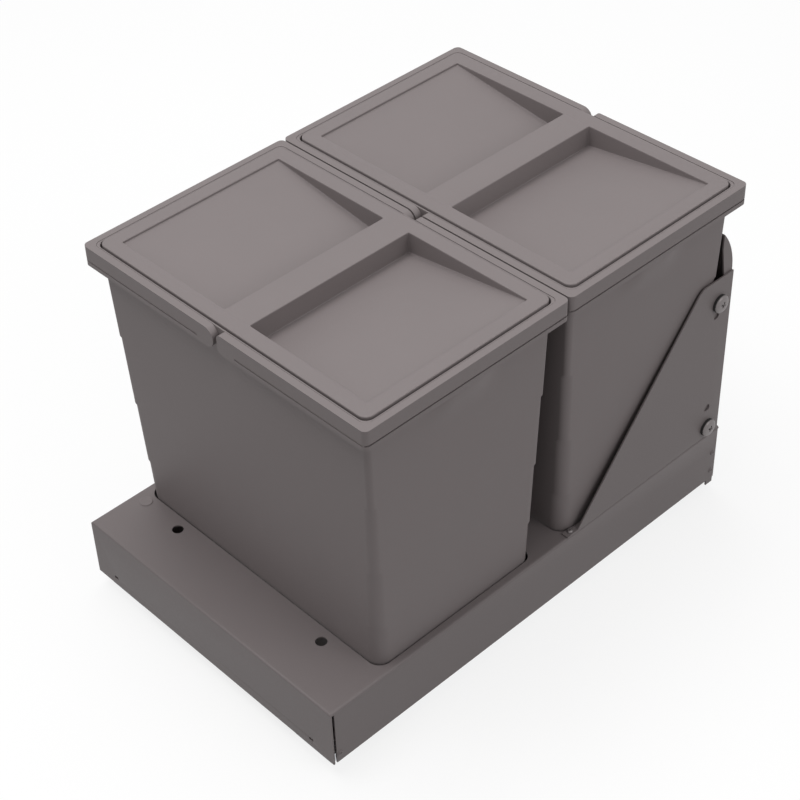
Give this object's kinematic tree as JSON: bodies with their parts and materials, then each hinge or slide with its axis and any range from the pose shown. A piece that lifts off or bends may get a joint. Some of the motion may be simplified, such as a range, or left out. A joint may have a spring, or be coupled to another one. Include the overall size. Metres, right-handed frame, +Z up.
{
  "type": "pull out bin frame",
  "caption": "Pull-out waste bin frame: a sheet steel tray on ball slides with side brackets, a front panel carrier, and lidded bins with folding bail handles.",
  "frame": {"origin": "on the cabinet floor, below the middle of the tray", "axes": "+Z up, -Y out of the cabinet towards the door, +X to the right when looking along +Y into the cabinet"},
  "size_m": [0.338, 0.492, 0.3565],
  "materials": {
    "painted_steel": "warm dark grey powder coat",
    "bin_plastic": "warm grey moulded plastic with a fine grain",
    "zinc_steel": "bright zinc plate",
    "screw_steel": "dull dark grey plate",
    "washer_nylon": "black nylon",
    "buffer_rubber": "matt black"
  },
  "bodies": {
    "floor_base": {"front_floor_strap": "painted_steel", "rear_floor_strap": "painted_steel", "left_fixed_rail": "zinc_steel", "right_fixed_rail": "zinc_steel", "rail_rivets": "zinc_steel", "rail_buffers": "buffer_rubber"},
    "middle_rails": {"left_middle_rail": "zinc_steel", "right_middle_rail": "zinc_steel"},
    "outer_cage_set": {"left_outer_cages": "zinc_steel", "right_outer_cages": "zinc_steel", "outer_balls": "zinc_steel"},
    "inner_cage_set": {"left_inner_cages": "zinc_steel", "right_inner_cages": "zinc_steel", "inner_balls": "zinc_steel"},
    "tray": {"left_tray_rail": "zinc_steel", "right_tray_rail": "zinc_steel", "rail_screws": "zinc_steel", "left_bearer": "painted_steel", "right_bearer": "painted_steel", "front_cross_member": "painted_steel", "tray_pan": "painted_steel", "tray_rivets": "painted_steel", "blank_plug": "bin_plastic", "left_bracket": "painted_steel", "right_bracket": "painted_steel", "foot_screws": "screw_steel", "upper_clamp_screws": "screw_steel", "upper_clamp_washers": "washer_nylon", "lower_clamp_screws": "screw_steel", "lower_clamp_washers": "washer_nylon", "clamp_nuts": "screw_steel"},
    "panel_carrier": {"panel_carrier": "painted_steel"},
    "rear_bin": {"rear_bin": "bin_plastic"},
    "front_bin": {"front_bin": "bin_plastic"},
    "rear_lid": {"rear_lid": "bin_plastic"},
    "front_lid": {"front_lid": "bin_plastic"},
    "rear_left_bail": {"rear_left_bail": "bin_plastic"},
    "rear_right_bail": {"rear_right_bail": "bin_plastic"},
    "front_left_bail": {"front_left_bail": "bin_plastic"},
    "front_right_bail": {"front_right_bail": "bin_plastic"}
  },
  "joints": [
    {"name": "tray_slide", "type": "slide", "parent": "floor_base", "child": "tray", "axis": [0, -1, 0], "range_m": [0, 0.44]},
    {"name": "middle_slide", "type": "slide", "parent": "floor_base", "child": "middle_rails", "axis": [0, -1, 0], "range_m": [0, 0.22]},
    {"name": "outer_cage_slide", "type": "slide", "parent": "floor_base", "child": "outer_cage_set", "axis": [0, -1, 0], "range_m": [0, 0.11]},
    {"name": "inner_cage_slide", "type": "slide", "parent": "floor_base", "child": "inner_cage_set", "axis": [0, -1, 0], "range_m": [0, 0.33]},
    {"name": "panel_tilt", "type": "hinge", "parent": "tray", "child": "panel_carrier", "pos_m": [0, -0.226, 0.089], "axis": [1, 0, 0], "range_deg": [0, 2]},
    {"name": "rear_bin_lift", "type": "slide", "parent": "tray", "child": "rear_bin", "axis": [0, 0, 1], "range_m": [0, 0.3]},
    {"name": "rear_lid_lift", "type": "slide", "parent": "rear_bin", "child": "rear_lid", "axis": [0, 0, 1], "range_m": [0, 0.08]},
    {"name": "rear_left_bail_swing", "type": "hinge", "parent": "rear_bin", "child": "rear_left_bail", "pos_m": [-0.01175, 0.092, 0.3455], "axis": [0, 1, 0], "range_deg": [0, 90]},
    {"name": "rear_right_bail_swing", "type": "hinge", "parent": "rear_bin", "child": "rear_right_bail", "pos_m": [0.01175, 0.092, 0.3455], "axis": [0, -1, 0], "range_deg": [0, 90]},
    {"name": "front_bin_lift", "type": "slide", "parent": "tray", "child": "front_bin", "axis": [0, 0, 1], "range_m": [0, 0.3]},
    {"name": "front_lid_lift", "type": "slide", "parent": "front_bin", "child": "front_lid", "axis": [0, 0, 1], "range_m": [0, 0.08]},
    {"name": "front_left_bail_swing", "type": "hinge", "parent": "front_bin", "child": "front_left_bail", "pos_m": [-0.01175, -0.128, 0.3455], "axis": [0, 1, 0], "range_deg": [0, 90]},
    {"name": "front_right_bail_swing", "type": "hinge", "parent": "front_bin", "child": "front_right_bail", "pos_m": [0.01175, -0.128, 0.3455], "axis": [0, -1, 0], "range_deg": [0, 90]}
  ],
  "couplings": [
    {"joint": "middle_slide", "follows": "tray_slide", "ratio": 0.5},
    {"joint": "outer_cage_slide", "follows": "tray_slide", "ratio": 0.25},
    {"joint": "inner_cage_slide", "follows": "tray_slide", "ratio": 0.75}
  ]
}
